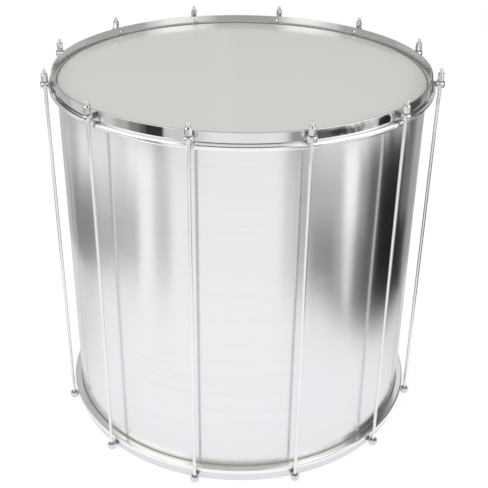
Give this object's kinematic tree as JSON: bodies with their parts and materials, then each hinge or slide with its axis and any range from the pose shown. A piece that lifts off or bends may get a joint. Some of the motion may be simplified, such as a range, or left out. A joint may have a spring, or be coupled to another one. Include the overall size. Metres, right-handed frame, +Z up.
{
  "type": "surdo drum",
  "caption": "Large two-headed bass drum with a brushed metal shell, chromed strip hoops, riveted eyes, full-depth tension rods and tall tuning nuts.",
  "frame": {"origin": "on the drum's axis at the lower edge of the bottom counter-hoop", "axes": "+Z up along the drum's axis towards the tuning nuts; -Y is the front, midway between two tension rods"},
  "size_m": [0.641, 0.641, 0.6405],
  "materials": {
    "shell_aluminium": "satin, brushed round the drum",
    "flesh_hoop_aluminium": "bright drawn",
    "hoop_chrome": "polished chrome plate on steel strip",
    "rod_chrome": "chrome plate on steel rod",
    "hardware_chrome": "polished chrome plate",
    "head_film": "milky film with a slight sheen"
  },
  "bodies": {
    "base": {"bottom_counter_hoop": "hoop_chrome", "bottom_flesh_hoop": "flesh_hoop_aluminium", "bottom_ear_01": "hardware_chrome", "bottom_ear_02": "hardware_chrome", "bottom_ear_03": "hardware_chrome", "bottom_ear_04": "hardware_chrome", "bottom_ear_05": "hardware_chrome", "bottom_ear_06": "hardware_chrome", "bottom_ear_07": "hardware_chrome", "bottom_ear_08": "hardware_chrome", "bottom_ear_09": "hardware_chrome", "bottom_ear_10": "hardware_chrome", "bottom_ear_11": "hardware_chrome", "bottom_ear_12": "hardware_chrome", "tension_rod_01": "rod_chrome", "tension_rod_02": "rod_chrome", "tension_rod_03": "rod_chrome", "tension_rod_04": "rod_chrome", "tension_rod_05": "rod_chrome", "tension_rod_06": "rod_chrome", "tension_rod_07": "rod_chrome", "tension_rod_08": "rod_chrome", "tension_rod_09": "rod_chrome", "tension_rod_10": "rod_chrome", "tension_rod_11": "rod_chrome", "tension_rod_12": "rod_chrome"},
    "shell_and_heads": {"shell": "shell_aluminium", "top_head_film": "head_film", "bottom_head_film": "head_film"},
    "top_hoop": {"top_counter_hoop": "hoop_chrome", "top_flesh_hoop": "flesh_hoop_aluminium", "top_ear_01": "hardware_chrome", "top_ear_02": "hardware_chrome", "top_ear_03": "hardware_chrome", "top_ear_04": "hardware_chrome", "top_ear_05": "hardware_chrome", "top_ear_06": "hardware_chrome", "top_ear_07": "hardware_chrome", "top_ear_08": "hardware_chrome", "top_ear_09": "hardware_chrome", "top_ear_10": "hardware_chrome", "top_ear_11": "hardware_chrome", "top_ear_12": "hardware_chrome"},
    "nut_01": {"tuning_nut_01": "hardware_chrome"},
    "nut_02": {"tuning_nut_02": "hardware_chrome"},
    "nut_03": {"tuning_nut_03": "hardware_chrome"},
    "nut_04": {"tuning_nut_04": "hardware_chrome"},
    "nut_05": {"tuning_nut_05": "hardware_chrome"},
    "nut_06": {"tuning_nut_06": "hardware_chrome"},
    "nut_07": {"tuning_nut_07": "hardware_chrome"},
    "nut_08": {"tuning_nut_08": "hardware_chrome"},
    "nut_09": {"tuning_nut_09": "hardware_chrome"},
    "nut_10": {"tuning_nut_10": "hardware_chrome"},
    "nut_11": {"tuning_nut_11": "hardware_chrome"},
    "nut_12": {"tuning_nut_12": "hardware_chrome"}
  },
  "joints": [
    {"name": "top_hoop_tension", "type": "slide", "parent": "base", "child": "top_hoop", "axis": [0, 0, -1], "range_m": [-0.002, 0.003]},
    {"name": "shell_float", "type": "slide", "parent": "base", "child": "shell_and_heads", "axis": [0, 0, -1], "range_m": [-0.001, 0.0015]},
    {"name": "nut_01_turn", "type": "hinge", "parent": "top_hoop", "child": "nut_01", "pos_m": [0.08381, -0.31277, 0.6203], "axis": [0, 0, -1], "range_deg": [-720, 1080]},
    {"name": "nut_02_turn", "type": "hinge", "parent": "top_hoop", "child": "nut_02", "pos_m": [0.22896, -0.22896, 0.6203], "axis": [0, 0, -1], "range_deg": [-720, 1080]},
    {"name": "nut_03_turn", "type": "hinge", "parent": "top_hoop", "child": "nut_03", "pos_m": [0.31277, -0.08381, 0.6203], "axis": [0, 0, -1], "range_deg": [-720, 1080]},
    {"name": "nut_04_turn", "type": "hinge", "parent": "top_hoop", "child": "nut_04", "pos_m": [0.31277, 0.08381, 0.6203], "axis": [0, 0, -1], "range_deg": [-720, 1080]},
    {"name": "nut_05_turn", "type": "hinge", "parent": "top_hoop", "child": "nut_05", "pos_m": [0.22896, 0.22896, 0.6203], "axis": [0, 0, -1], "range_deg": [-720, 1080]},
    {"name": "nut_06_turn", "type": "hinge", "parent": "top_hoop", "child": "nut_06", "pos_m": [0.08381, 0.31277, 0.6203], "axis": [0, 0, -1], "range_deg": [-720, 1080]},
    {"name": "nut_07_turn", "type": "hinge", "parent": "top_hoop", "child": "nut_07", "pos_m": [-0.08381, 0.31277, 0.6203], "axis": [0, 0, -1], "range_deg": [-720, 1080]},
    {"name": "nut_08_turn", "type": "hinge", "parent": "top_hoop", "child": "nut_08", "pos_m": [-0.22896, 0.22896, 0.6203], "axis": [0, 0, -1], "range_deg": [-720, 1080]},
    {"name": "nut_09_turn", "type": "hinge", "parent": "top_hoop", "child": "nut_09", "pos_m": [-0.31277, 0.08381, 0.6203], "axis": [0, 0, -1], "range_deg": [-720, 1080]},
    {"name": "nut_10_turn", "type": "hinge", "parent": "top_hoop", "child": "nut_10", "pos_m": [-0.31277, -0.08381, 0.6203], "axis": [0, 0, -1], "range_deg": [-720, 1080]},
    {"name": "nut_11_turn", "type": "hinge", "parent": "top_hoop", "child": "nut_11", "pos_m": [-0.22896, -0.22896, 0.6203], "axis": [0, 0, -1], "range_deg": [-720, 1080]},
    {"name": "nut_12_turn", "type": "hinge", "parent": "top_hoop", "child": "nut_12", "pos_m": [-0.08381, -0.31277, 0.6203], "axis": [0, 0, -1], "range_deg": [-720, 1080]}
  ],
  "couplings": [
    {"joint": "shell_float", "follows": "top_hoop_tension", "ratio": 0.5},
    {"joint": "nut_01_turn", "follows": "top_hoop_tension", "rad_per_m": 6283.2},
    {"joint": "nut_02_turn", "follows": "top_hoop_tension", "rad_per_m": 6283.2},
    {"joint": "nut_03_turn", "follows": "top_hoop_tension", "rad_per_m": 6283.2},
    {"joint": "nut_04_turn", "follows": "top_hoop_tension", "rad_per_m": 6283.2},
    {"joint": "nut_05_turn", "follows": "top_hoop_tension", "rad_per_m": 6283.2},
    {"joint": "nut_06_turn", "follows": "top_hoop_tension", "rad_per_m": 6283.2},
    {"joint": "nut_07_turn", "follows": "top_hoop_tension", "rad_per_m": 6283.2},
    {"joint": "nut_08_turn", "follows": "top_hoop_tension", "rad_per_m": 6283.2},
    {"joint": "nut_09_turn", "follows": "top_hoop_tension", "rad_per_m": 6283.2},
    {"joint": "nut_10_turn", "follows": "top_hoop_tension", "rad_per_m": 6283.2},
    {"joint": "nut_11_turn", "follows": "top_hoop_tension", "rad_per_m": 6283.2},
    {"joint": "nut_12_turn", "follows": "top_hoop_tension", "rad_per_m": 6283.2}
  ]
}
